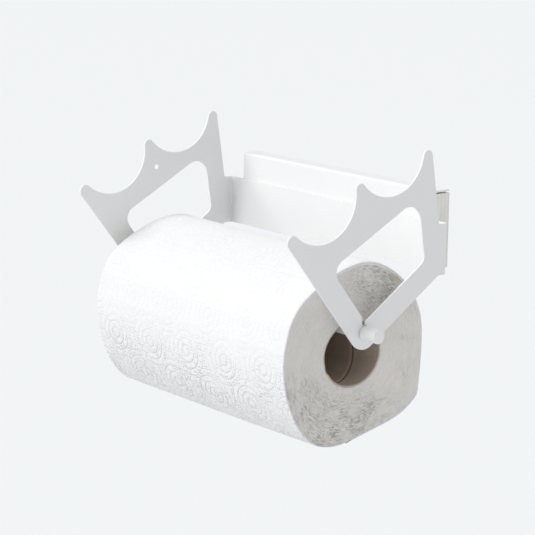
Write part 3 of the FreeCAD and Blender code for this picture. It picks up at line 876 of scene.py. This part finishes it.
def on_roll(x, angle, share, sunk=0.0):
    """A point at a share of the way from the core to the paper's outside."""
    full = radius_at(angle) + sway(x, angle)
    core = core_reach(angle)
    r = core + (full - core) * share - sunk
    return (x, axis_y + r * math.cos(angle), axis_z + r * math.sin(angle))


def add_places(mesh, **tables):
    """Writes each table on the mesh's points: a row of three is a place, and a single number a share."""
    for name, rows in tables.items():
        table = np.array(rows, np.float32)
        kind = "FLOAT_VECTOR" if table.ndim == 2 else "FLOAT"
        written = mesh.attributes.new(name, kind, "POINT")
        written.data.foreach_set("vector" if table.ndim == 2 else "value", table.ravel())


WINDING_ROWS = 35                # from the core to the outside, on each end
RIM = 0.7 * MM                   # how far the roll's end is rounded inwards, and how much more on top
UPPER_RIM = 1.1 * MM
UPPER_TURN = math.radians(-20.0)     # the upper side starts here
RIM_RUN = 2.2                    # the rounding reaches this much further along the roll than inwards
RIM_STEPS = (25.0, 50.0, 72.0)   # degrees round it
PAPER_DEPTH = 39 * MM            # typical, from the core to the outside
RAGGED = (0.12, 0.35, 0.85)      # mm: how far each edge is sunk, how unevenly, and how much more where slack
RAGGED_LAYERS = 40.0
RAGGED_DETAIL = 2.2
RAGGED_APART = 7.0               # so that the two ends differ
SHEET_THICKNESS = 0.55 * MM
SHALLOW = 0.04                   # of the sheet's skin: how deep the roll sits just inside the sheet's edges
TAIL_LIFT = 0.7 * MM             # the last sheet's free end stands off a little
TAIL_REACH = 9 * MM


def wound_section(angle):
    """The roll's section as (x, share of the way out, how fully it is pressed), round from the core."""
    rim = RIM + UPPER_RIM * max(0.0, math.sin(angle - UPPER_TURN))
    rim_share = rim / PAPER_DEPTH
    half = [(roll_half, (1 - rim_share) * i / WINDING_ROWS, 0.0) for i in range(WINDING_ROWS + 1)]
    for degrees in RIM_STEPS:
        a = math.radians(degrees)
        x = roll_half - RIM_RUN * rim * (1 - math.cos(a))
        half.append((x, 1 - rim_share * (1 - math.sin(a)), EDGE_PRESSED))
    straight = roll_half - RIM_RUN * rim
    across = int(round(2 * roll_half / PAPER_STEP))
    side = [(straight * (2 * i / across - 1), 1.0, 1.0) for i in range(across + 1)]
    return [(-x, share, pressed) for x, share, pressed in half] + side + half[::-1]


def slack(angle):
    """How loosely the paper is wound on one side of the roll, from 0 to 1."""
    above = max(0.0, math.cos(angle - SLACK_ABOVE)) ** 6
    below = max(0.0, math.cos(angle - SLACK_BELOW)) ** 4
    return max(above, below)


def ragged(x, angle, share):
    """How far one place on the roll's end is sunk: each winding differs, and more so where it is slack."""
    y = RAGGED_DETAIL * math.cos(angle) + math.copysign(RAGGED_APART, x)
    z = RAGGED_DETAIL * math.sin(angle)
    uneven = abs(soft_noise.noise(Vector((share * RAGGED_LAYERS, y, z))))
    every, tight, loose = RAGGED
    near_edges = min(1.0, 3 * share, 8 * (1 - share) + 0.3)
    return (every + (tight + loose * slack(angle)) * uneven) * MM * near_edges


def paper_columns():
    """Lengths round the roll, from the last sheet's end to its start and on round the bare part."""
    start = arc_at(sheet_end)
    covered = arc_at(sheet_start) - start
    under = int(round(covered / PAPER_STEP))
    bare = int(round((girth - covered) / PAPER_STEP))
    arcs = [start + covered * j / under for j in range(under)]
    arcs += [start + covered + (girth - covered) * j / bare for j in range(bare)]
    return arcs, under


def build_roll():
    """The wound paper with both its ends, a little thinner where the last sheet lies on it."""
    arcs, under = paper_columns()
    points, places, wound, shares = [], [], [], []
    for j, arc in enumerate(arcs):
        angle = angle_at(arc)
        covered = 0 < j < under
        depth = SHEET_SKIN * (SHALLOW if j in (1, under - 1) else 1.0)
        turn_y = WOUND_TURN * math.cos(angle)
        turn_z = WOUND_TURN * math.sin(angle)
        section = wound_section(angle)
        for x, share, pressed in section:
            sunk = depth * share if covered else 0.0
            inset = ragged(x, angle, share) if pressed == 0.0 else 0.0
            points.append(on_roll(x - math.copysign(inset, x), angle, share, sunk))
            places.append((x, arc, 0.0))
            wound.append((share * WOUND_SCALE, turn_y, turn_z + math.copysign(MM, x)))
            shares.append(min(pressed, EDGE_PRESSED) if covered else pressed)
    mesh = mesh_from("roll_wound", points, ring_faces(len(arcs), len(section)))
    add_places(mesh, quilt_place=places, wound_place=wound, quilt_share=shares)
    return mesh


def build_sheet():
    """The last sheet lies on the roll, and turns in with it over the rounded ends."""
    arcs, under = paper_columns()
    arcs = arcs[: under + 1]
    points, places, shares, faces = [], [], [], []
    for arc in arcs:
        angle = angle_at(arc)
        lift = TAIL_LIFT * max(0.0, 1.0 - (arc - arcs[0]) / TAIL_REACH) ** 2
        lying = [row for row in wound_section(angle) if row[2] > 0.0]
        for x, share, pressed in lying:
            points.append(on_roll(x, angle, share, -lift))
            places.append((x, arc, 0.0))
            shares.append(pressed)
    width = len(lying)
    for j in range(len(arcs) - 1):
        for i in range(width - 1):
            corner = j * width + i
            faces.append((corner, corner + width, corner + width + 1, corner + 1))
    mesh = bpy.data.meshes.new("last_sheet_quilted")
    mesh.from_pydata(points, [], faces)
    mesh.shade_smooth()
    add_places(mesh, quilt_place=places, quilt_share=shares)
    return mesh


paper_face = quilted_paper()
paper_edge = wound_edges()
emboss = emboss_tree()
paper_looks = {"Depth": RING_DEPTH, "Face Material": paper_face, "Edge Material": paper_edge}

roll = grow(emboss, "roll_wound", build_roll(), **paper_looks)
finish_piece(roll, "roll", "wound_paper", "paper_roll")

last_sheet = grow(emboss, "last_sheet_quilted", build_sheet(), **paper_looks)
thicken = last_sheet.modifiers.new("ply", "SOLIDIFY")
thicken.thickness = SHEET_THICKNESS
thicken.offset = -1.0
settle_modifiers(last_sheet)
finish_piece(last_sheet, "roll", "sheet_paper", "loose_sheet")


# ==== Studio ========================================================================================
# A plain pale floor below the holder, a broad key light from the front left, a weaker one from above and
# behind, and pale light all round. The camera looks from the right, a little above.

FLOOR_DROP = 250 * MM
FLOOR_HALF = 30.0                # metres from its middle to its edges
FLOOR_TONE = (0.835, 0.845, 0.85)
SKY_TONE = (0.96, 0.98, 1.0)
SKY_STRENGTH = 0.55

floor_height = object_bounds()[0].z - FLOOR_DROP
floor_mesh = bpy.data.meshes.new("floor")
corners = [(x * FLOOR_HALF, y * FLOOR_HALF, floor_height) for x, y in ((-1, -1), (1, -1), (1, 1), (-1, 1))]
floor_mesh.from_pydata(corners, [], [(0, 1, 2, 3)])
floor = put_in_scene("floor", floor_mesh)
floor_finish, _, floor_shader = new_material("studio floor", FLOOR_TONE, 0.9)
floor_shader.inputs["Specular IOR Level"].default_value = 0.1
floor_mesh.materials.append(floor_finish)

world = bpy.data.worlds.new("studio")
bpy.context.scene.world = world
world.use_nodes = True
sky = world.node_tree.nodes["Background"]
sky.inputs["Color"].default_value = (*SKY_TONE, 1.0)
sky.inputs["Strength"].default_value = SKY_STRENGTH

KEY_STRENGTH = 2.02
KEY_SOFTNESS = 38.0              # degrees across the light, seen from the holder
KEY_FROM = (-0.35, -0.66, 0.66)

TOP_STRENGTH = 0.42
TOP_SOFTNESS = 60.0
TOP_FROM = (0.10, 0.50, 0.85)


def soft_light(name, strength, softness, direction):
    """A far light that comes from a direction, and is so many degrees across."""
    lamp = bpy.data.lights.new(name, "SUN")
    lamp.energy = strength
    lamp.angle = math.radians(softness)
    light = put_in_scene(name, lamp)
    light.rotation_euler = Vector(direction).to_track_quat("Z", "Y").to_euler()


soft_light("key", KEY_STRENGTH, KEY_SOFTNESS, KEY_FROM)
soft_light("top", TOP_STRENGTH, TOP_SOFTNESS, TOP_FROM)

AZIMUTH = math.radians(51.788)
ELEVATION = math.radians(11.646)
ROLL = math.radians(0.7405)
CAMERA_PLACE = (1.1651, -0.9940, 0.2673)
CAMERA_LENS = 138.27             # mm, on a film 36 mm wide
FILM_WIDTH = 36.0

camera = bpy.data.cameras.new("camera")
camera.lens = CAMERA_LENS
camera.sensor_width = FILM_WIDTH
camera.clip_start = 0.05
camera.clip_end = 100.0
viewer = put_in_scene("camera", camera)
back = Vector((
    math.sin(AZIMUTH) * math.cos(ELEVATION),
    -math.cos(AZIMUTH) * math.cos(ELEVATION),
    math.sin(ELEVATION),
))
level = Vector((math.cos(AZIMUTH), math.sin(AZIMUTH), 0.0))
upright = back.cross(level)
right = math.cos(ROLL) * level + math.sin(ROLL) * upright
above = back.cross(right)
rows = [[right[i], above[i], back[i], CAMERA_PLACE[i]] for i in range(3)]
viewer.matrix_world = Matrix(rows + [[0.0, 0.0, 0.0, 1.0]])
bpy.context.scene.camera = viewer
bpy.context.scene.view_settings.view_transform = "Standard"
